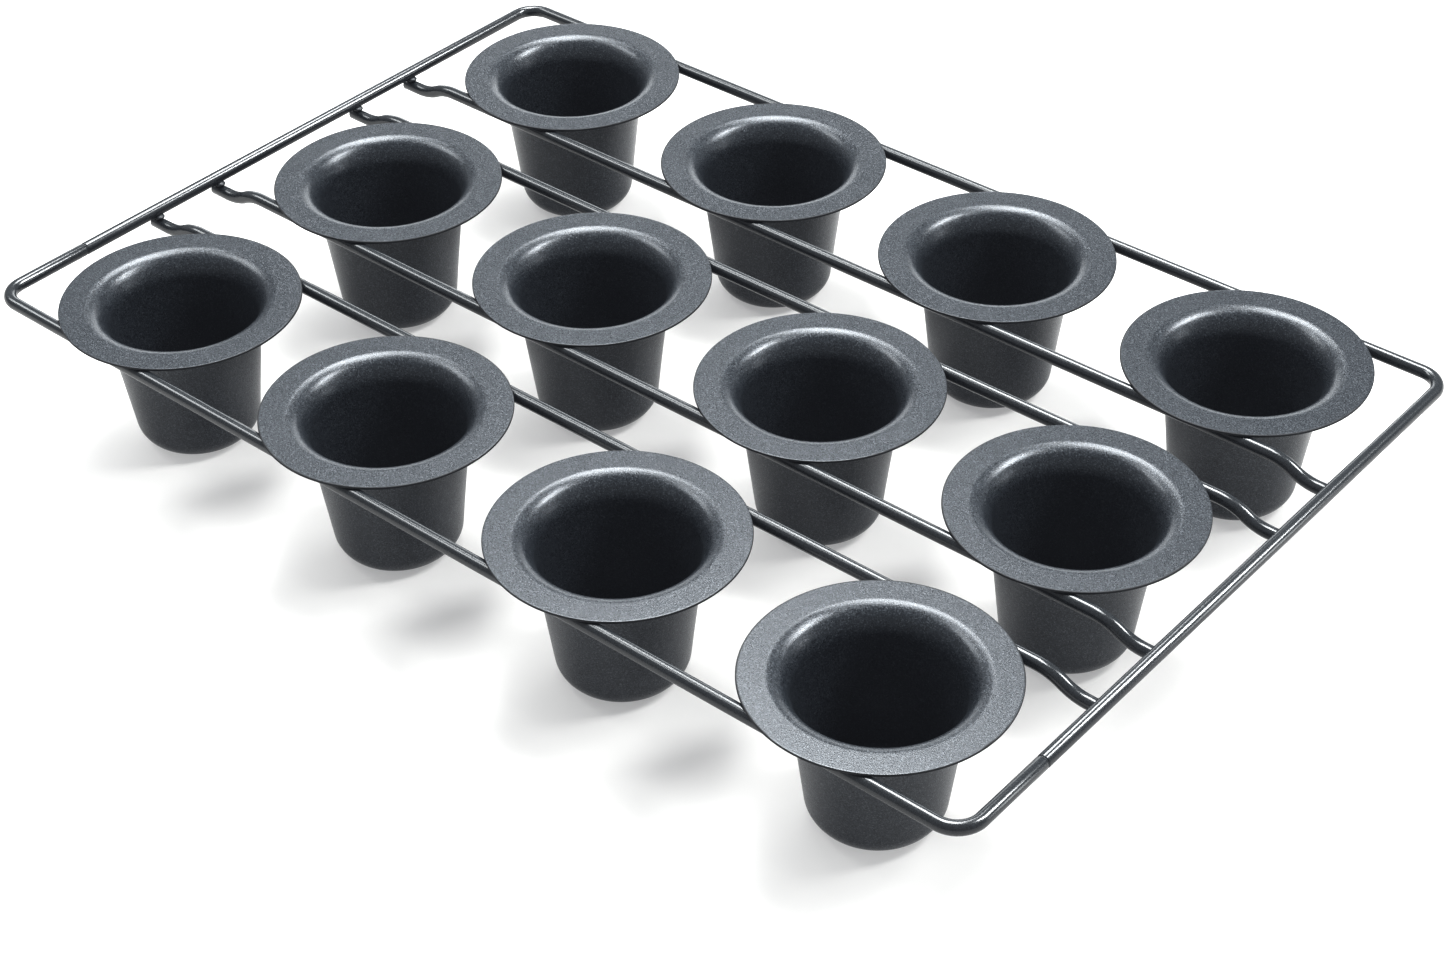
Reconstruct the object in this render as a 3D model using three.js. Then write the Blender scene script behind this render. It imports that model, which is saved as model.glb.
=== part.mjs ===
// Popover pan: twelve pressed steel cups hang by their flanges from a welded wire frame.
// Millimetres, +Z up. The origin is the middle of the pan, on the surface its cups stand on.
// +X runs along a row of cups and +Y runs from the front row to the back row.

import * as THREE from 'three';

// ---- driving dimensions ----

// cup: one sheet-steel pressing, round, tapered, with a flat flange
const CUP_HEIGHT = 53;
const SHEET_THICKNESS = 0.8;
const MOUTH_RADIUS = 26.5; // outside of the wall, carried up to the top of the flange
const BASE_RADIUS = 20; // outside of the wall, carried down to the base
const BASE_CORNER_RADIUS = 8.5; // outside of the bend between wall and base
const THROAT_RADIUS = 7; // top side of the bend between flange and wall
const FLANGE_FLAT_WIDTH = 8.1;

// grid of cups
const COLUMNS = 4;
const ROW_NAMES = ['front', 'middle', 'back'];
const COLUMN_GAP = 17; // between the flanges of neighbours in one row
const ROW_GAP = 15.6; // between the flanges of neighbouring rows

// frame and row wires: round steel wire
const WIRE_DIAMETER = 4.4;
const FRAME_END_CLEARANCE = 10.7; // from the end cups' flanges to the frame's short sides
const FRAME_BEND_RADIUS = 8.5; // centre line of the frame's corners
const FRONT_LEG_LENGTH = 36; // from the front side's centre line back to the butt joints
const STEP_RUN = 18; // length of the step that takes a row wire down under the frame
const STEP_TO_FRAME = 6; // from the end of that step to the frame's centre line
const LEFT_END_REACH = 1.3; // from the frame's centre line out to the row wires' left ends
const RIGHT_END_REACH = -1.9; // their right ends stop short of that line

// welds
const NUGGET_HEIGHT = 0.2; // between the two surfaces that it joins
const CUP_WELD_LENGTH = 6;
const CUP_WELD_CLEARANCE = 0.8; // from the throat's bend to the edge of a cup weld
const FRAME_WELD_TOE = 0.8; // how far a frame weld runs along the row wire, inside the frame
const BUTT_WELD_GAP = 0.4;
const BUTT_WELD_RECESS = 0.2; // its seam lies this far below the wire's surface

// facets
const CUP_SIDES = 24;
const WIRE_SIDES = 12;
const ARC_STEPS = 3;
const FRAME_BEND_STEPS = 5;
const STEP_STATIONS = 8;

// ---- places that follow from them ----

const WIRE_RADIUS = WIRE_DIAMETER / 2;
const NUGGET_WIDTH = WIRE_DIAMETER / 2;
const WALL_LEAN = Math.atan((MOUTH_RADIUS - BASE_RADIUS) / CUP_HEIGHT);
const BEND_REACH = Math.tan((Math.PI / 2 - WALL_LEAN) / 2); // tangent length of a bend, per mm of its radius
const FLANGE_FLAT_START = MOUTH_RADIUS - SHEET_THICKNESS / Math.cos(WALL_LEAN) + THROAT_RADIUS * BEND_REACH;
const FLANGE_RADIUS = FLANGE_FLAT_START + FLANGE_FLAT_WIDTH;
const COLUMN_PITCH = 2 * FLANGE_RADIUS + COLUMN_GAP;
const ROW_PITCH = 2 * FLANGE_RADIUS + ROW_GAP;

const WIRE_OFFSET = FLANGE_FLAT_START + CUP_WELD_CLEARANCE + NUGGET_WIDTH / 2; // from a row's centre line
const WIRE_HEIGHT = CUP_HEIGHT - SHEET_THICKNESS - NUGGET_HEIGHT - WIRE_RADIUS;
const STEP_DROP = WIRE_DIAMETER + NUGGET_HEIGHT;
const FRAME_HALF_LENGTH = columnX(COLUMNS - 1) + FLANGE_RADIUS + FRAME_END_CLEARANCE + WIRE_RADIUS;
const FRAME_HALF_DEPTH = rowY(ROW_NAMES.length - 1) + WIRE_OFFSET;
const SEAM_Y = -FRAME_HALF_DEPTH + FRONT_LEG_LENGTH;

function columnX(column) {
  return (column - (COLUMNS - 1) / 2) * COLUMN_PITCH;
}

function rowY(row) {
  return (row - (ROW_NAMES.length - 1) / 2) * ROW_PITCH;
}

// ---- finishes ----

const cupCoating = new THREE.MeshStandardMaterial({ color: 0x4a4f54, roughness: 0.5, metalness: 0.3 });
const wireCoating = new THREE.MeshStandardMaterial({ color: 0x2b2e31, roughness: 0.3, metalness: 0.3 });
const weldCoating = new THREE.MeshStandardMaterial({ color: 0x232527, roughness: 0.5, metalness: 0.3 });

// ---- cups ----

// points of a circular bend, ends included; angles are measured from +X of the profile
function bend(centreX, centreY, radius, startAngle, endAngle) {
  const points = [];
  for (let step = 0; step <= ARC_STEPS; step += 1) {
    const angle = startAngle + ((endAngle - startAngle) * step) / ARC_STEPS;
    points.push(new THREE.Vector2(centreX + radius * Math.cos(angle), centreY + radius * Math.sin(angle)));
  }
  return points;
}

// the cup's half section: under the base, up the outside, over the flange and down the inside
function cupProfile() {
  const baseFlat = BASE_RADIUS - BASE_CORNER_RADIUS * BEND_REACH;
  const innerCorner = BASE_CORNER_RADIUS - SHEET_THICKNESS;
  const throatHeight = CUP_HEIGHT - THROAT_RADIUS;
  const outerThroat = THROAT_RADIUS - SHEET_THICKNESS;
  const wallSide = Math.PI - WALL_LEAN;
  return [
    new THREE.Vector2(0, 0),
    ...bend(baseFlat, BASE_CORNER_RADIUS, BASE_CORNER_RADIUS, -Math.PI / 2, -WALL_LEAN),
    ...bend(FLANGE_FLAT_START, throatHeight, outerThroat, wallSide, Math.PI / 2),
    new THREE.Vector2(FLANGE_RADIUS, CUP_HEIGHT - SHEET_THICKNESS),
    new THREE.Vector2(FLANGE_RADIUS, CUP_HEIGHT),
    ...bend(FLANGE_FLAT_START, throatHeight, THROAT_RADIUS, Math.PI / 2, wallSide),
    ...bend(baseFlat, BASE_CORNER_RADIUS, innerCorner, -WALL_LEAN, -Math.PI / 2),
    new THREE.Vector2(0, SHEET_THICKNESS),
  ];
}

function makeCup(name, x, y) {
  const geometry = new THREE.LatheGeometry(cupProfile(), CUP_SIDES);
  geometry.rotateX(Math.PI / 2);
  const cup = new THREE.Mesh(geometry, cupCoating);
  cup.name = name;
  cup.position.set(x, y, 0);
  return cup;
}

// ---- wires ----

// a wire's centre line, given as stations that each hold a point and a direction
class WireLine extends THREE.Curve {
  constructor(stations) {
    super();
    this.stations = stations;
  }

  station(t) {
    return this.stations[Math.round(t * (this.stations.length - 1))];
  }

  getPointAt(t, target = new THREE.Vector3()) {
    return target.copy(this.station(t).point);
  }

  getTangentAt(t, target = new THREE.Vector3()) {
    return target.copy(this.station(t).direction);
  }
}

function ring(radius) {
  const shape = new THREE.Shape();
  for (let side = 0; side < WIRE_SIDES; side += 1) {
    const angle = (2 * Math.PI * side) / WIRE_SIDES;
    const x = radius * Math.cos(angle);
    const y = radius * Math.sin(angle);
    if (side === 0) {
      shape.moveTo(x, y);
    } else {
      shape.lineTo(x, y);
    }
  }
  shape.closePath();
  return shape;
}

function makeWire(name, stations) {
  const geometry = new THREE.ExtrudeGeometry(ring(WIRE_RADIUS), {
    steps: stations.length - 1,
    extrudePath: new WireLine(stations),
  });
  const wire = new THREE.Mesh(geometry, wireCoating);
  wire.name = name;
  return wire;
}

function station(x, y, z, directionX, directionY, directionZ) {
  const direction = new THREE.Vector3(directionX, directionY, directionZ).normalize();
  return { point: new THREE.Vector3(x, y, z), direction };
}

// half of the frame: a leg, a corner, a long side, a corner and a leg, in one bent wire;
// side is -1 for the front wire and +1 for the back one
function frameStations(side) {
  const legEnd = SEAM_Y + (side * BUTT_WELD_GAP) / 2;
  const cornerX = FRAME_HALF_LENGTH - FRAME_BEND_RADIUS;
  const cornerY = side * (FRAME_HALF_DEPTH - FRAME_BEND_RADIUS);
  const stations = [station(-FRAME_HALF_LENGTH, legEnd, WIRE_HEIGHT, 0, side, 0)];
  for (const end of [-1, 1]) {
    for (let step = 0; step <= FRAME_BEND_STEPS; step += 1) {
      const share = end < 0 ? step : FRAME_BEND_STEPS - step;
      const angle = ((Math.PI / 2) * share) / FRAME_BEND_STEPS;
      const x = end * (cornerX + FRAME_BEND_RADIUS * Math.cos(angle));
      const y = cornerY + side * FRAME_BEND_RADIUS * Math.sin(angle);
      stations.push(station(x, y, WIRE_HEIGHT, Math.sin(angle), -end * side * Math.cos(angle), 0));
    }
  }
  stations.push(station(FRAME_HALF_LENGTH, legEnd, WIRE_HEIGHT, 0, -side, 0));
  return stations;
}

// a row wire is level under the flanges and steps down at both ends to lie lower than the frame
function rowWireStations(y) {
  const leftEnd = -FRAME_HALF_LENGTH - LEFT_END_REACH;
  const rightEnd = FRAME_HALF_LENGTH + RIGHT_END_REACH;
  const stepEnd = FRAME_HALF_LENGTH - STEP_TO_FRAME;
  const lowHeight = WIRE_HEIGHT - STEP_DROP;
  const rise = [];
  for (let step = 0; step <= STEP_STATIONS; step += 1) {
    const share = step / STEP_STATIONS;
    const height = lowHeight + (STEP_DROP * (1 - Math.cos(Math.PI * share))) / 2;
    const slope = (STEP_DROP * Math.PI * Math.sin(Math.PI * share)) / 2 / STEP_RUN;
    rise.push({ inset: share * STEP_RUN, height, slope });
  }
  return [
    station(leftEnd, y, lowHeight, 1, 0, 0),
    ...rise.map((at) => station(at.inset - stepEnd, y, at.height, 1, 0, at.slope)),
    ...rise.reverse().map((at) => station(stepEnd - at.inset, y, at.height, 1, 0, -at.slope)),
    station(rightEnd, y, lowHeight, 1, 0, 0),
  ];
}

// ---- welds ----

// a weld nugget fills the gap between a wire's crown and the flange over it; it is drawn with
// the wire's centre at the origin and is as wide as the wire's top two facets
function nuggetShape() {
  const facet = (2 * Math.PI) / WIRE_SIDES;
  const flatHeight = WIRE_RADIUS + NUGGET_HEIGHT;
  const edgeX = WIRE_RADIUS * Math.sin(facet);
  const edgeY = WIRE_RADIUS * Math.cos(facet);
  const shape = new THREE.Shape();
  shape.moveTo(-edgeX, edgeY);
  shape.lineTo(0, WIRE_RADIUS);
  shape.lineTo(edgeX, edgeY);
  shape.lineTo(edgeX, flatHeight);
  shape.lineTo(-edgeX, flatHeight);
  shape.closePath();
  return shape;
}

// a fillet lies in the corner between a row wire's crown and the frame over it; it is drawn with
// the frame wire's centre at the origin and the inside of the frame towards -X
function filletShape() {
  const facet = (2 * Math.PI) / WIRE_SIDES;
  const crown = -WIRE_RADIUS - NUGGET_HEIGHT;
  const heelX = -WIRE_RADIUS * Math.sin(facet);
  const throatX = -WIRE_RADIUS * Math.sin(2 * facet);
  const shape = new THREE.Shape();
  shape.moveTo(heelX, crown);
  shape.lineTo(heelX, -WIRE_RADIUS * Math.cos(facet));
  shape.lineTo(throatX, -WIRE_RADIUS * Math.cos(2 * facet));
  shape.lineTo(throatX - FRAME_WELD_TOE, crown);
  shape.closePath();
  return shape;
}

function weldGeometry(shape, length) {
  const geometry = new THREE.ExtrudeGeometry(shape, { depth: length, bevelEnabled: false });
  geometry.translate(0, 0, -length / 2);
  return geometry;
}

// along X, flat side up against a flange
function makeCupWeld(name, x, y) {
  const geometry = weldGeometry(nuggetShape(), CUP_WELD_LENGTH);
  const turn = new THREE.Matrix4().makeBasis(
    new THREE.Vector3(0, 1, 0),
    new THREE.Vector3(0, 0, 1),
    new THREE.Vector3(1, 0, 0),
  );
  geometry.applyMatrix4(turn);
  const weld = new THREE.Mesh(geometry, weldCoating);
  weld.name = name;
  weld.position.set(x, y, WIRE_HEIGHT);
  return weld;
}

// side is -1 for the left end of a row wire and +1 for the right one
function makeFrameWeld(name, side, y) {
  const geometry = weldGeometry(filletShape(), NUGGET_WIDTH);
  geometry.rotateX(Math.PI / 2);
  const weld = new THREE.Mesh(geometry, weldCoating);
  weld.name = name;
  weld.position.set(side * FRAME_HALF_LENGTH, y, WIRE_HEIGHT);
  weld.rotation.z = side < 0 ? Math.PI : 0;
  return weld;
}

// a thin disc that joins the ends of the two frame wires
function makeButtWeld(name, x) {
  const radius = WIRE_RADIUS - BUTT_WELD_RECESS;
  const geometry = new THREE.CylinderGeometry(radius, radius, BUTT_WELD_GAP, WIRE_SIDES);
  const weld = new THREE.Mesh(geometry, weldCoating);
  weld.name = name;
  weld.position.set(x, SEAM_Y, WIRE_HEIGHT);
  return weld;
}

// ---- assembly ----

const pan = new THREE.Group();
pan.name = 'popover_pan';

pan.add(makeWire('front_frame_wire', frameStations(-1)));
pan.add(makeWire('back_frame_wire', frameStations(1)));
pan.add(makeButtWeld('left_butt_weld', -FRAME_HALF_LENGTH));
pan.add(makeButtWeld('right_butt_weld', FRAME_HALF_LENGTH));

// every row stands between a front and a back wire; the outermost two are the frame's long sides
ROW_NAMES.forEach((rowName, row) => {
  for (const side of [-1, 1]) {
    const sideName = side < 0 ? 'front' : 'back';
    const wireY = rowY(row) + side * WIRE_OFFSET;
    const onFrame = row + side < 0 || row + side >= ROW_NAMES.length;
    if (!onFrame) {
      const wireName = `${rowName}_row_${sideName}_wire`;
      pan.add(makeWire(wireName, rowWireStations(wireY)));
      pan.add(makeFrameWeld(`${wireName}_weld_left`, -1, wireY));
      pan.add(makeFrameWeld(`${wireName}_weld_right`, 1, wireY));
    }
    for (let column = 0; column < COLUMNS; column += 1) {
      pan.add(makeCupWeld(`${rowName}_cup_${column + 1}_weld_${sideName}`, columnX(column), wireY));
    }
  }
  for (let column = 0; column < COLUMNS; column += 1) {
    pan.add(makeCup(`${rowName}_cup_${column + 1}`, columnX(column), rowY(row)));
  }
});

export default pan;
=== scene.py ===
import math
import random

import bmesh
import bpy
from mathutils import Matrix, Quaternion, Vector


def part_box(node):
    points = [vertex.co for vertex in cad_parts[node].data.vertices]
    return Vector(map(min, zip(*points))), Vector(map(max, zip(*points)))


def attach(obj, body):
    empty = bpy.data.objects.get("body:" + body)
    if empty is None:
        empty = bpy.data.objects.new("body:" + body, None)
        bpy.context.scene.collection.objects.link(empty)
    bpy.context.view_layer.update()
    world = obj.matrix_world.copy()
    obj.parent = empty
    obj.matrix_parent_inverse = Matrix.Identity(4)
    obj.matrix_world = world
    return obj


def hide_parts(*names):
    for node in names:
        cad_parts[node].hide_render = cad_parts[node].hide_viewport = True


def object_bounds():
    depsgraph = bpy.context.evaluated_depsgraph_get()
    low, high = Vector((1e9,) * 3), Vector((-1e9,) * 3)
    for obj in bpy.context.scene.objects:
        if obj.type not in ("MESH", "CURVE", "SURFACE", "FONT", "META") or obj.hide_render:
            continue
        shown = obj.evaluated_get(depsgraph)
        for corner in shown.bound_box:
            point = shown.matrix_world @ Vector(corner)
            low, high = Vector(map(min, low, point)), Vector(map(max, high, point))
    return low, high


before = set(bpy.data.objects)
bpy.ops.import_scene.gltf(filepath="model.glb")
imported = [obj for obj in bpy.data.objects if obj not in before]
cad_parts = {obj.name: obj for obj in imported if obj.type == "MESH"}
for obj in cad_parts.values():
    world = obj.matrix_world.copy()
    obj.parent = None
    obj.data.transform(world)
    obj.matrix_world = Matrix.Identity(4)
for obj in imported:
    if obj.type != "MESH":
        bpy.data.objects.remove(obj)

cad_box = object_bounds()


# ---- camera ----
# A long lens looks down on the front right corner of the pan, high enough to see into every cup.
# It aims at a point on the plane of the flanges, and is turned a little about its own axis.

aim_point = Vector((0.0573, -0.0582, cad_box[1].z))
camera_distance = 0.807
camera_heading = math.radians(40.67)
camera_elevation = math.radians(38.06)
camera_roll = math.radians(-0.945)
lens_length = 66.95
sensor_width = 36

towards_camera = Vector((
    math.sin(camera_heading) * math.cos(camera_elevation),
    -math.cos(camera_heading) * math.cos(camera_elevation),
    math.sin(camera_elevation),
))
long_lens = bpy.data.cameras.new("long_lens")
long_lens.sensor_width = sensor_width
long_lens.lens = lens_length
camera = bpy.data.objects.new("camera", long_lens)
camera.location = aim_point + camera_distance * towards_camera
camera.rotation_mode = "QUATERNION"
level_view = (-towards_camera).to_track_quat("-Z", "Y")
camera.rotation_quaternion = level_view @ Quaternion((0, 0, 1), camera_roll)
bpy.context.scene.collection.objects.link(camera)
bpy.context.scene.camera = camera


# ---- studio ----
# White paper sweeps away just under the cups, and glows a little as painted light, less under the pan as
# painted shade. Soft boxes hang above and behind the pan, at its right and at its left, with a weak one low
# at the right and a lit backdrop far behind. The tones are contrasty, with a faint veil over the darks.

tone_gamma = 0.7
lens_veil = (-0.018, -0.019, -0.023)
room_light = (0.93, 0.96, 0.985, 1.0)
lamp_light = (0.985, 1.0, 1.005)
room_strength = 0.72

tones = bpy.context.scene.view_settings
tones.view_transform = "Standard"
tones.gamma = tone_gamma
tones.use_curve_mapping = True
tones.curve_mapping.black_level = lens_veil
tones.curve_mapping.update()

room = bpy.data.worlds.new("room")
room.use_nodes = True
room.node_tree.nodes["Background"].inputs["Color"].default_value = room_light
room.node_tree.nodes["Background"].inputs["Strength"].default_value = room_strength
bpy.context.scene.world = room


def hang_soft_box(name, direction, distance, width, height, power):
    box = bpy.data.lights.new(name, "AREA")
    box.shape = "RECTANGLE"
    box.size = width
    box.size_y = height
    box.energy = power
    box.color = lamp_light
    lamp = bpy.data.objects.new(name, box)
    lamp.location = aim_point + distance * Vector(direction).normalized()
    lamp.rotation_mode = "QUATERNION"
    lamp.rotation_quaternion = (aim_point - lamp.location).to_track_quat("-Z", "Y")
    bpy.context.scene.collection.objects.link(lamp)


hang_soft_box(
    "back_box", direction=(-0.258, 0.315, 0.914), distance=1.8, width=0.50, height=1.15, power=50,
)
hang_soft_box(
    "right_box", direction=(0.448, 0.498, 0.742), distance=1.8, width=0.36, height=0.84, power=49,
)
hang_soft_box(
    "left_box", direction=(-0.681, -0.171, 0.712), distance=1.8, width=0.50, height=1.05, power=20,
)
hang_soft_box(
    "left_back_box", direction=(-0.49, 0.22, 0.84), distance=1.8, width=0.30, height=0.65, power=9,
)
hang_soft_box(
    "low_right_box", direction=(0.80, 0.60, 0.12), distance=1.6, width=0.25, height=0.5, power=4,
)
hang_soft_box(
    "backdrop", direction=(-0.60, 0.78, 0.17), distance=3.0, width=2.4, height=0.9, power=24,
)


class Signal:
    """One output of a shader node. Arithmetic on signals adds their Math nodes."""

    def __init__(self, tree, socket=None):
        self.tree = tree
        self.socket = socket

    def node(self, kind, settings, inputs, output):
        made = self.tree.nodes.new(kind)
        for key, value in settings.items():
            setattr(made, key, value)
        sockets = {socket.identifier: socket for socket in made.inputs}
        for key, value in inputs.items():
            if isinstance(value, Signal):
                self.tree.links.new(value.socket, sockets[key])
            else:
                sockets[key].default_value = value
        outputs = {socket.identifier: socket for socket in made.outputs}
        return Signal(self.tree, outputs[output])

    def math(self, operation, first, second):
        inputs = {"Value": first, "Value_001": second}
        return self.node("ShaderNodeMath", {"operation": operation}, inputs, "Value")

    def __add__(self, other):
        return self.math("ADD", self, other)

    def __radd__(self, other):
        return self.math("ADD", other, self)

    def __mul__(self, other):
        return self.math("MULTIPLY", self, other)

    def __rmul__(self, other):
        return self.math("MULTIPLY", other, self)

    def place(self):
        """Where the point is, in the piece's own coordinates."""
        return self.node("ShaderNodeTexCoord", {}, {}, "Object")

    def noise(self, scale, detail=2.0, roughness=0.5):
        inputs = {"Vector": self.place(), "Scale": scale, "Detail": detail, "Roughness": roughness}
        return self.node("ShaderNodeTexNoise", {}, inputs, "Fac")

    def speck(self, scale):
        """A value of its own for each cell of a scatter of cells."""
        inputs = {"Vector": self.place(), "Scale": scale}
        colour = self.node("ShaderNodeTexVoronoi", {}, inputs, "Color")
        return self.node("ShaderNodeSeparateColor", {}, {"Color": colour}, "Red")

    def step(self, start, end):
        """Runs from 0 to 1 as this signal goes from start to end, and holds past them."""
        inputs = {"Value": self, "From Min": start, "From Max": end, "To Min": 0.0, "To Max": 1.0}
        return self.node("ShaderNodeMapRange", {"clamp": True}, inputs, "Result")

    def spread(self, half_width, half_depth):
        """How far out from the middle of the floor a point is: 1 on the ellipse of these half axes."""
        shares = {"Vector": self.place(), "Vector_001": (1 / half_width, 1 / half_depth, 0)}
        shared = self.node("ShaderNodeVectorMath", {"operation": "MULTIPLY"}, shares, "Vector")
        return self.node("ShaderNodeVectorMath", {"operation": "LENGTH"}, {"Vector": shared}, "Value")

    def blend(self, first, second):
        """The first colour where this signal is 0 and the second where it is 1."""
        inputs = {"Factor_Float": self, "A_Color": first, "B_Color": second}
        return self.node("ShaderNodeMix", {"data_type": "RGBA"}, inputs, "Result_Color")

    def attribute(self, name):
        return self.node("ShaderNodeAttribute", {"attribute_name": name}, {}, "Fac")

    def bump(self, strength, depth):
        inputs = {"Height": self, "Strength": strength, "Distance": depth}
        return self.node("ShaderNodeBump", {}, inputs, "Normal")


def new_material(name):
    material = bpy.data.materials.new(name)
    material.use_nodes = True
    tree = material.node_tree
    return material, tree.nodes["Principled BSDF"], Signal(tree)


def feed(shader, name, signal):
    signal.tree.links.new(signal.socket, shader.inputs[name])


paper_width = 9.0
paper_gap = 0.0001
paper_dark = (0.355, 0.35, 0.34, 1)
paper_light = (0.375, 0.37, 0.36, 1)
painted_shade_glow_under_pan = (0.67, 0.67, 0.675, 1)
glow_outside = (1, 1, 1, 1)
glow_strength = 0.64
glow_inner = 0.8
glow_outer = 1.8
paper_grain_scale = 40
paper_roughness = 0.7
paper_specular = 0.2

paper_material, paper, signal = new_material("white_paper")
feed(paper, "Base Color", signal.noise(paper_grain_scale).blend(paper_dark, paper_light))
# The paper's glow is dimmed under the pan as painted shade, and the shade fades out between the two
# ellipses.
clear_of_painted_shade = signal.spread(cad_box[1].x, cad_box[1].y).step(glow_inner, glow_outer)
feed(paper, "Emission Color", clear_of_painted_shade.blend(painted_shade_glow_under_pan, glow_outside))
paper.inputs["Emission Strength"].default_value = glow_strength
paper.inputs["Roughness"].default_value = paper_roughness
paper.inputs["Specular IOR Level"].default_value = paper_specular

sweep = bmesh.new()
bmesh.ops.create_grid(sweep, x_segments=8, y_segments=8, size=paper_width / 2)
bmesh.ops.translate(sweep, verts=sweep.verts, vec=(0, 0, cad_box[0].z - paper_gap))
paper_mesh = bpy.data.meshes.new("paper")
sweep.to_mesh(paper_mesh)
sweep.free()
paper_mesh.materials.append(paper_material)
floor = bpy.data.objects.new("paper", paper_mesh)
bpy.context.scene.collection.objects.link(floor)


# ---- cups ----
# Each cup is pressed from one round blank of thin steel: a flat flange, a throat that curves tightly at its
# lip and gently into the wall, a tapered wall and a round-cornered base. It is sprayed with a dark non-stick
# coating full of fine metal flakes, then baked.

sheet = 0.0008
mouth_radius = 0.0265
base_radius = 0.020
base_corner_radius = 0.0085
lip_edge = 0.0318
lip_radius = 0.0055
lip_slope = math.radians(48)
support_gap = 0.0004
rim_rounding = 0.00026
rim_segments = 3
cup_sides = 144
bend_segments = 14

coating_dark = (0.005, 0.0065, 0.0085, 1)
coating_light = (0.040, 0.047, 0.056, 1)
flake_colour = (0.16, 0.175, 0.19, 1)
flake_strength = 0.40
flake_scale = 3400
grain_scale = 2300
mottle_scale = 70
grain_depth = 0.0001
coating_metal = 0.25
coating_ior = 1.6

cup_coating, coat, signal = new_material("cup_coating")
grain = signal.noise(grain_scale, 3.0, 0.65)
mottle = signal.noise(mottle_scale, 2.0)
flake = signal.speck(flake_scale).step(0.72, 0.98)
rim = signal.attribute("rim")
tone = grain.step(0.30, 0.70).blend(coating_dark, coating_light)
tone = (flake * flake_strength).blend(tone, flake_colour)
# The rim's rounded edge is painted darker than the coating, a painted shade along the flange's outline.
tone = rim.blend(tone, coating_dark)
feed(coat, "Base Color", tone)
feed(coat, "Roughness", 0.225 + 0.12 * grain.step(0.30, 0.70) + 0.04 * mottle + 0.35 * rim)
feed(coat, "Normal", (grain + 0.3 * flake).bump(0.45, grain_depth))
coat.inputs["Metallic"].default_value = coating_metal
coat.inputs["IOR"].default_value = coating_ior


def spin_full(bm, outline, centre, sides):
    """Turns an outline of (radius, height) points once round the upright axis through centre."""
    verts = [bm.verts.new((centre.x + radius, centre.y, height)) for radius, height in outline]
    edges = [bm.edges.new(pair) for pair in zip(verts, verts[1:])]
    bmesh.ops.spin(
        bm, geom=verts + edges, cent=centre, axis=(0, 0, 1), dvec=(0, 0, 0), angle=2 * math.pi,
        steps=sides, use_merge=True, use_normal_flip=False, use_duplicate=False,
    )
    bmesh.ops.remove_doubles(bm, verts=bm.verts, dist=1e-7)
    bmesh.ops.recalc_face_normals(bm, faces=bm.faces)


def hoop_edges(bm, centre, radius, height, slack=1e-5):
    """The edges of the hoop that lies at one radius and height."""
    def on_hoop(vert):
        offset = vert.co - centre
        return abs(math.hypot(offset.x, offset.y) - radius) < slack and abs(vert.co.z - height) < slack

    return [edge for edge in bm.edges if all(on_hoop(vert) for vert in edge.verts)]


def round_edges(bm, edges, offset, segments):
    bmesh.ops.bevel(
        bm, geom=edges, offset=offset, offset_type="OFFSET", segments=segments, profile=0.5,
        affect="EDGES", material=-1, clamp_overlap=False,
    )


def finish_piece(bm, name, material, node):
    """Puts a finished mesh in the scene in place of its CAD node."""
    for face in bm.faces:
        face.smooth = True
    mesh = bpy.data.meshes.new(name)
    bm.to_mesh(mesh)
    bm.free()
    mesh.materials.append(material)
    piece = bpy.data.objects.new(name, mesh)
    bpy.context.scene.collection.objects.link(piece)
    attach(piece, "root")
    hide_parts(node)


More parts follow.
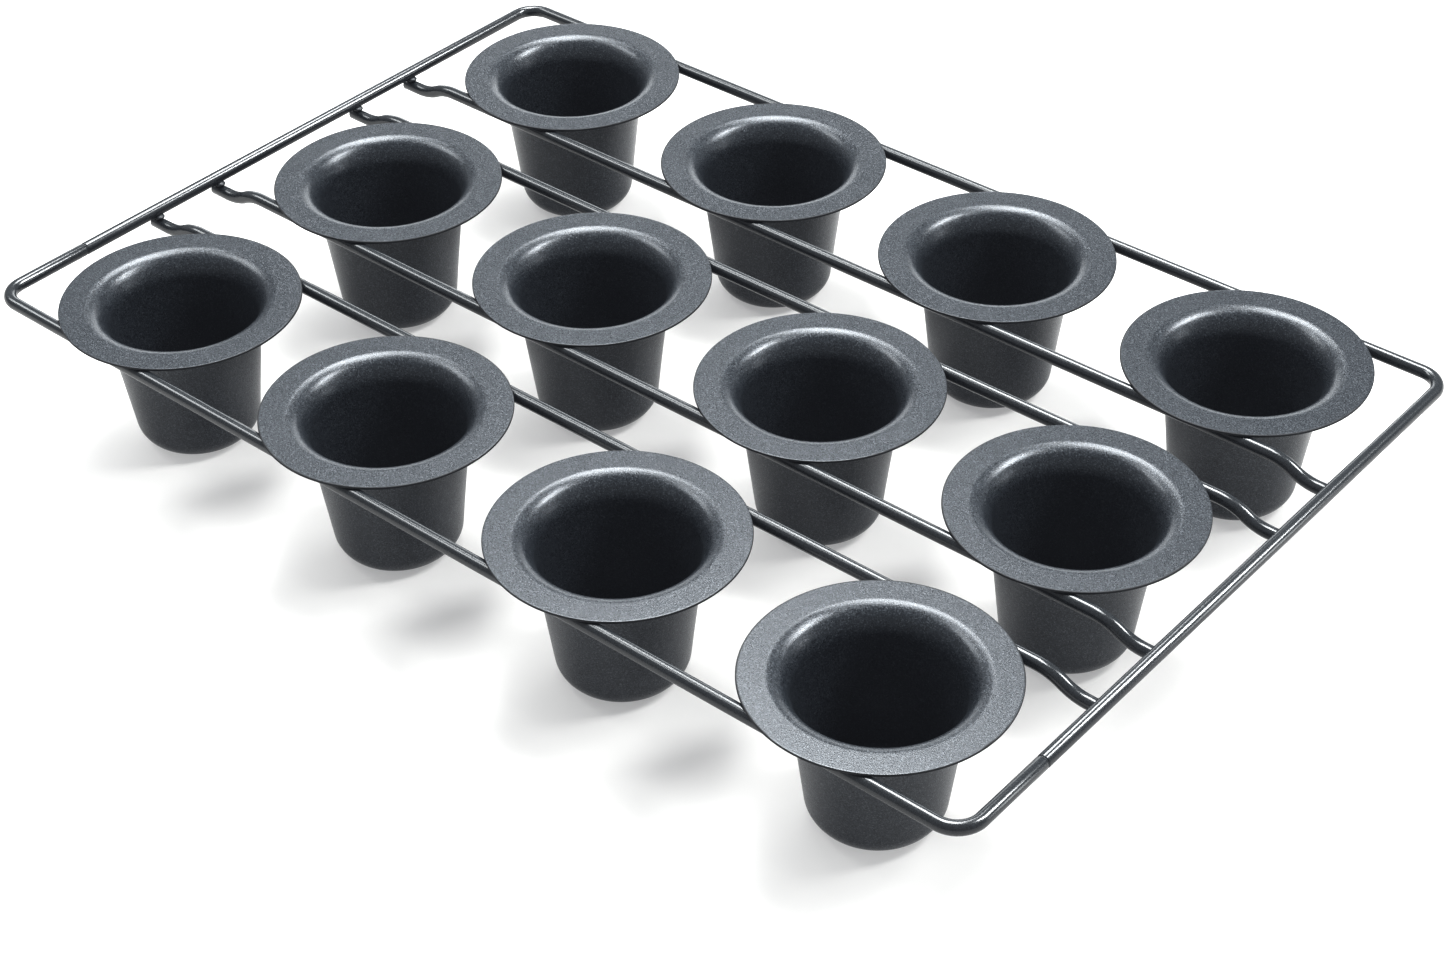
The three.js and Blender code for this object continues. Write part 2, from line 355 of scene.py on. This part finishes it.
def press_cup(node):
    """A cup's pressing, with its thickness, its rounded rim, and an attribute that marks the rim's edge for
    its painted shade.
    """
    low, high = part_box(node)
    centre = (low + high) / 2
    flange_radius = (high.x - low.x) / 2
    height = high.z - low.z
    lean = math.atan((mouth_radius - base_radius) / height)
    corner_cut = (base_corner_radius - sheet) * math.tan((math.pi / 2 - lean) / 2)
    wall_foot = sheet + corner_cut * math.cos(lean) + support_gap

    def wall_radius(level):
        return base_radius + level * math.tan(lean) - sheet / math.cos(lean)

    corner = wall_radius(sheet)
    lip_cut = lip_radius * math.tan(lip_slope / 2)
    lip = lip_edge - lip_cut
    slant = (lip - wall_radius(height)) / (math.cos(lip_slope) - math.sin(lip_slope) * math.tan(lean))
    throat_level = height - slant * math.sin(lip_slope)
    throat = wall_radius(throat_level)
    throat_cut = slant - lip_cut - support_gap
    wall_head = throat_level - (throat_cut + support_gap) * math.cos(lean)
    outline = [
        (0, sheet),
        (corner - corner_cut - support_gap, sheet),
        (corner, sheet),
        (wall_radius(wall_foot), wall_foot),
        (wall_radius(wall_head), wall_head),
        (throat, throat_level),
        (lip, height),
        (lip_edge + support_gap, height),
        (flange_radius - rim_rounding - support_gap, height),
        (flange_radius, height),
    ]
    cup = bmesh.new()
    spin_full(cup, outline, centre, cup_sides)
    round_edges(cup, hoop_edges(cup, centre, corner, sheet), corner_cut, bend_segments)
    round_edges(cup, hoop_edges(cup, centre, throat, throat_level), throat_cut, bend_segments)
    round_edges(cup, hoop_edges(cup, centre, lip, height), lip_cut, bend_segments)
    bmesh.ops.recalc_face_normals(cup, faces=cup.faces)
    if sum(face.normal.z for face in cup.faces) < 0:
        bmesh.ops.reverse_faces(cup, faces=cup.faces)
    bmesh.ops.solidify(cup, geom=cup.faces, thickness=sheet)
    cut_edges = hoop_edges(cup, centre, flange_radius, height)
    cut_edges += hoop_edges(cup, centre, flange_radius, height - sheet)
    round_edges(cup, cut_edges, rim_rounding, rim_segments)

    # Marks the rim's rounded edge, where the coating gets its painted shade.
    rim_shade_mark = cup.verts.layers.float.new("rim")
    for vert in cup.verts:
        offset = vert.co - centre
        vert[rim_shade_mark] = float(math.hypot(offset.x, offset.y) > flange_radius - rim_rounding)
    return cup


for row in ("front", "middle", "back"):
    for column in (1, 2, 3, 4):
        cup_node = f"{row}_cup_{column}"
        cup = press_cup(cup_node)
        finish_piece(cup, f"{cup_node}_coated", cup_coating, cup_node)


# ---- frame wires ----
# The frame is two lengths of round steel wire, each bent into a wide U with rounded corners: the front one
# has short legs and the back one long legs. The same coating as the cups', sprayed thinner, leaves them
# glossier.

frame_bend_radius = 0.0085
wire_sides = 32
bend_steps = 12
end_rounding = 0.0003
end_segments = 3

wire_dark = (0.014, 0.016, 0.018, 1)
wire_light = (0.030, 0.034, 0.038, 1)
orange_peel_scale = 900
orange_peel_depth = 0.00005
wire_grain_scale = 2600
thin_coating_metal = 0.1

wire_coating, coat, signal = new_material("wire_coating")
orange_peel = signal.noise(orange_peel_scale, 2.0)
grain = signal.noise(wire_grain_scale, 2.0)
feed(coat, "Base Color", grain.step(0.35, 0.65).blend(wire_dark, wire_light))
feed(coat, "Roughness", 0.16 + 0.08 * grain + 0.04 * orange_peel)
feed(coat, "Normal", (orange_peel + 0.4 * grain).bump(0.15, orange_peel_depth))
coat.inputs["Metallic"].default_value = thin_coating_metal
coat.inputs["IOR"].default_value = coating_ior


def start_wire(centre, direction, radius):
    """A new wire's first ring of edges, round centre and square to its direction."""
    wire = bmesh.new()
    turn = Vector(direction).to_track_quat("Z", "X").to_matrix().to_4x4()
    bmesh.ops.create_circle(
        wire, cap_ends=False, radius=radius, segments=wire_sides,
        matrix=Matrix.Translation(centre) @ turn,
    )
    return wire, wire.edges[:]


def ring_of(verts):
    """The edges that join the given verts to each other."""
    found = set(verts)
    edges = {edge for vert in found for edge in vert.link_edges}
    return [edge for edge in edges if all(vert in found for vert in edge.verts)]


def only_verts(items):
    return [item for item in items if isinstance(item, bmesh.types.BMVert)]


def draw_on(wire, ring, move):
    """Draws the wire's open end straight on."""
    drawn = only_verts(bmesh.ops.extrude_edge_only(wire, edges=ring)["geom"])
    bmesh.ops.translate(wire, verts=drawn, vec=move)
    return ring_of(drawn)


def bend_on(wire, ring, pivot, axis, angle, steps):
    """Bends the wire's open end round a pivot."""
    verts = list({vert for edge in ring for vert in edge.verts})
    bent = bmesh.ops.spin(
        wire, geom=verts + ring, cent=pivot, axis=axis, dvec=(0, 0, 0), angle=angle, steps=steps,
        use_merge=False, use_normal_flip=False, use_duplicate=False,
    )
    return ring_of(only_verts(bent["geom_last"]))


def close_wire(wire):
    """Fills both ends of a wire and takes the sharp edge off them, as the shears and coating leave it."""
    bmesh.ops.remove_doubles(wire, verts=wire.verts, dist=1e-7)
    open_edges = [edge for edge in wire.edges if edge.is_boundary]
    bmesh.ops.holes_fill(wire, edges=open_edges, sides=0)
    bmesh.ops.recalc_face_normals(wire, faces=wire.faces)
    round_edges(wire, open_edges, end_rounding, end_segments)


for side, frame_node in ((-1, "front_frame_wire"), (1, "back_frame_wire")):
    low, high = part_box(frame_node)
    wire_radius = (high.z - low.z) / 2
    level = (high.z + low.z) / 2
    half_length = high.x - wire_radius
    leg_end, long_side = (high.y, low.y + wire_radius) if side < 0 else (low.y, high.y - wire_radius)
    corner_y = long_side - side * frame_bend_radius
    corner_x = half_length - frame_bend_radius
    wire, ring = start_wire((-half_length, leg_end, level), (0, side, 0), wire_radius)
    ring = draw_on(wire, ring, (0, corner_y - leg_end, 0))
    ring = bend_on(wire, ring, (-corner_x, corner_y, level), (0, 0, -side), math.pi / 2, bend_steps)
    ring = draw_on(wire, ring, (2 * corner_x, 0, 0))
    ring = bend_on(wire, ring, (corner_x, corner_y, level), (0, 0, -side), math.pi / 2, bend_steps)
    draw_on(wire, ring, (0, leg_end - corner_y, 0))
    close_wire(wire)
    finish_piece(wire, f"{frame_node}_coated", wire_coating, frame_node)


# ---- row wires ----
# Four straight lengths of the same wire run under the flanges, two to each gap between rows. Each end is
# cranked down in a press to pass under the frame, and welded there. The left ends reach past the middle of
# the frame wire, and the right ends stop just short of it.

crank_run = 0.018
crank_to_frame = 0.006
crank_steps = 8

row_wire_nodes = (
    "front_row_back_wire", "middle_row_front_wire", "middle_row_back_wire", "back_row_front_wire",
)
for wire_node in row_wire_nodes:
    low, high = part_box(wire_node)
    wire_radius = (high.y - low.y) / 2
    middle = (high.y + low.y) / 2
    raised = high.z - wire_radius
    lowered = low.z + wire_radius
    crank_angle = 2 * math.atan((raised - lowered) / crank_run)
    crank_radius = crank_run / (2 * math.sin(crank_angle))
    crank_foot = half_length - crank_to_frame
    crank_head = crank_foot - crank_run
    above = lowered + crank_radius
    below = raised - crank_radius
    wire, ring = start_wire((low.x, middle, lowered), (1, 0, 0), wire_radius)
    ring = draw_on(wire, ring, (-crank_foot - low.x, 0, 0))
    ring = bend_on(wire, ring, (-crank_foot, middle, above), (0, -1, 0), crank_angle, crank_steps)
    ring = bend_on(wire, ring, (-crank_head, middle, below), (0, 1, 0), crank_angle, crank_steps)
    ring = draw_on(wire, ring, (2 * crank_head, 0, 0))
    ring = bend_on(wire, ring, (crank_head, middle, below), (0, 1, 0), crank_angle, crank_steps)
    ring = bend_on(wire, ring, (crank_foot, middle, above), (0, -1, 0), crank_angle, crank_steps)
    draw_on(wire, ring, (high.x - crank_foot, 0, 0))
    close_wire(wire)
    finish_piece(wire, f"{wire_node}_coated", wire_coating, wire_node)


# ---- welds on the row wires and cups ----
# A resistance weld joins each flange to the wires under it, and the squeezed metal swells out as a low
# uneven cushion. Each row wire is tacked to the frame by a small bead in the corner where it passes below.
# The coating covers both.

cup_weld_size = Vector((0.0078, 0.0042, 0.0013))
frame_weld_size = Vector((0.0032, 0.0036, 0.0016))
weld_unevenness = 0.06
weld_smoothing = 0.5
cushion_segments = 28
cushion_rings = 14
weld_dark = (0.014, 0.016, 0.018, 1)
weld_light = (0.040, 0.045, 0.050, 1)
spatter_scale = 1400
spatter_depth = 0.0001

weld_coating, coat, signal = new_material("weld_coating")
spatter = signal.noise(spatter_scale, 3.0, 0.6)
feed(coat, "Base Color", spatter.step(0.35, 0.7).blend(weld_dark, weld_light))
feed(coat, "Roughness", 0.30 + 0.20 * spatter)
feed(coat, "Normal", spatter.bump(0.45, spatter_depth))
coat.inputs["Metallic"].default_value = thin_coating_metal


def squeeze_cushion(node, size):
    """A weld's cushion of swollen metal, uneven but smooth, set in the middle of its CAD node."""
    low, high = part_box(node)
    cushion = bmesh.new()
    bmesh.ops.create_uvsphere(cushion, u_segments=cushion_segments, v_segments=cushion_rings, radius=0.5)
    for vert in cushion.verts:
        vert.co *= 1 + dice.uniform(-weld_unevenness, weld_unevenness)
    bmesh.ops.smooth_vert(
        cushion, verts=cushion.verts, factor=weld_smoothing,
        use_axis_x=True, use_axis_y=True, use_axis_z=True,
    )
    bmesh.ops.scale(cushion, verts=cushion.verts, vec=size)
    bmesh.ops.translate(cushion, verts=cushion.verts, vec=(low + high) / 2)
    finish_piece(cushion, f"{node}_coated", weld_coating, node)


dice = random.Random(7)
for row in ("front", "middle", "back"):
    for column in (1, 2, 3, 4):
        for side in ("front", "back"):
            squeeze_cushion(f"{row}_cup_{column}_weld_{side}", cup_weld_size)
for wire_node in row_wire_nodes:
    for side in ("left", "right"):
        squeeze_cushion(f"{wire_node}_weld_{side}", frame_weld_size)


# ---- butt welds ----
# The legs of the two frame wires meet end to end, and are fused and dressed back to just under the wire's
# surface. What is left is a fine ring of weld, low in the groove between the two rounded wire ends.

bead_swell = 0.00006

for weld_node in ("left_butt_weld", "right_butt_weld"):
    low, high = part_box(weld_node)
    centre = (low + high) / 2
    weld_radius = (high.z - low.z) / 2
    bead, ring = start_wire((centre.x, low.y, centre.z), (0, 1, 0), weld_radius)
    half_gap = (high.y - low.y) / 2
    swollen = draw_on(bead, ring, (0, half_gap, 0))
    crest = list({vert for edge in swollen for vert in edge.verts})
    draw_on(bead, swollen, (0, half_gap, 0))
    swell = Vector((1, 1, 1)) * (1 + bead_swell / weld_radius)
    bmesh.ops.scale(bead, verts=crest, vec=swell, space=Matrix.Translation(-centre))
    open_edges = [edge for edge in bead.edges if edge.is_boundary]
    bmesh.ops.holes_fill(bead, edges=open_edges, sides=0)
    bmesh.ops.recalc_face_normals(bead, faces=bead.faces)
    finish_piece(bead, f"{weld_node}_coated", weld_coating, weld_node)
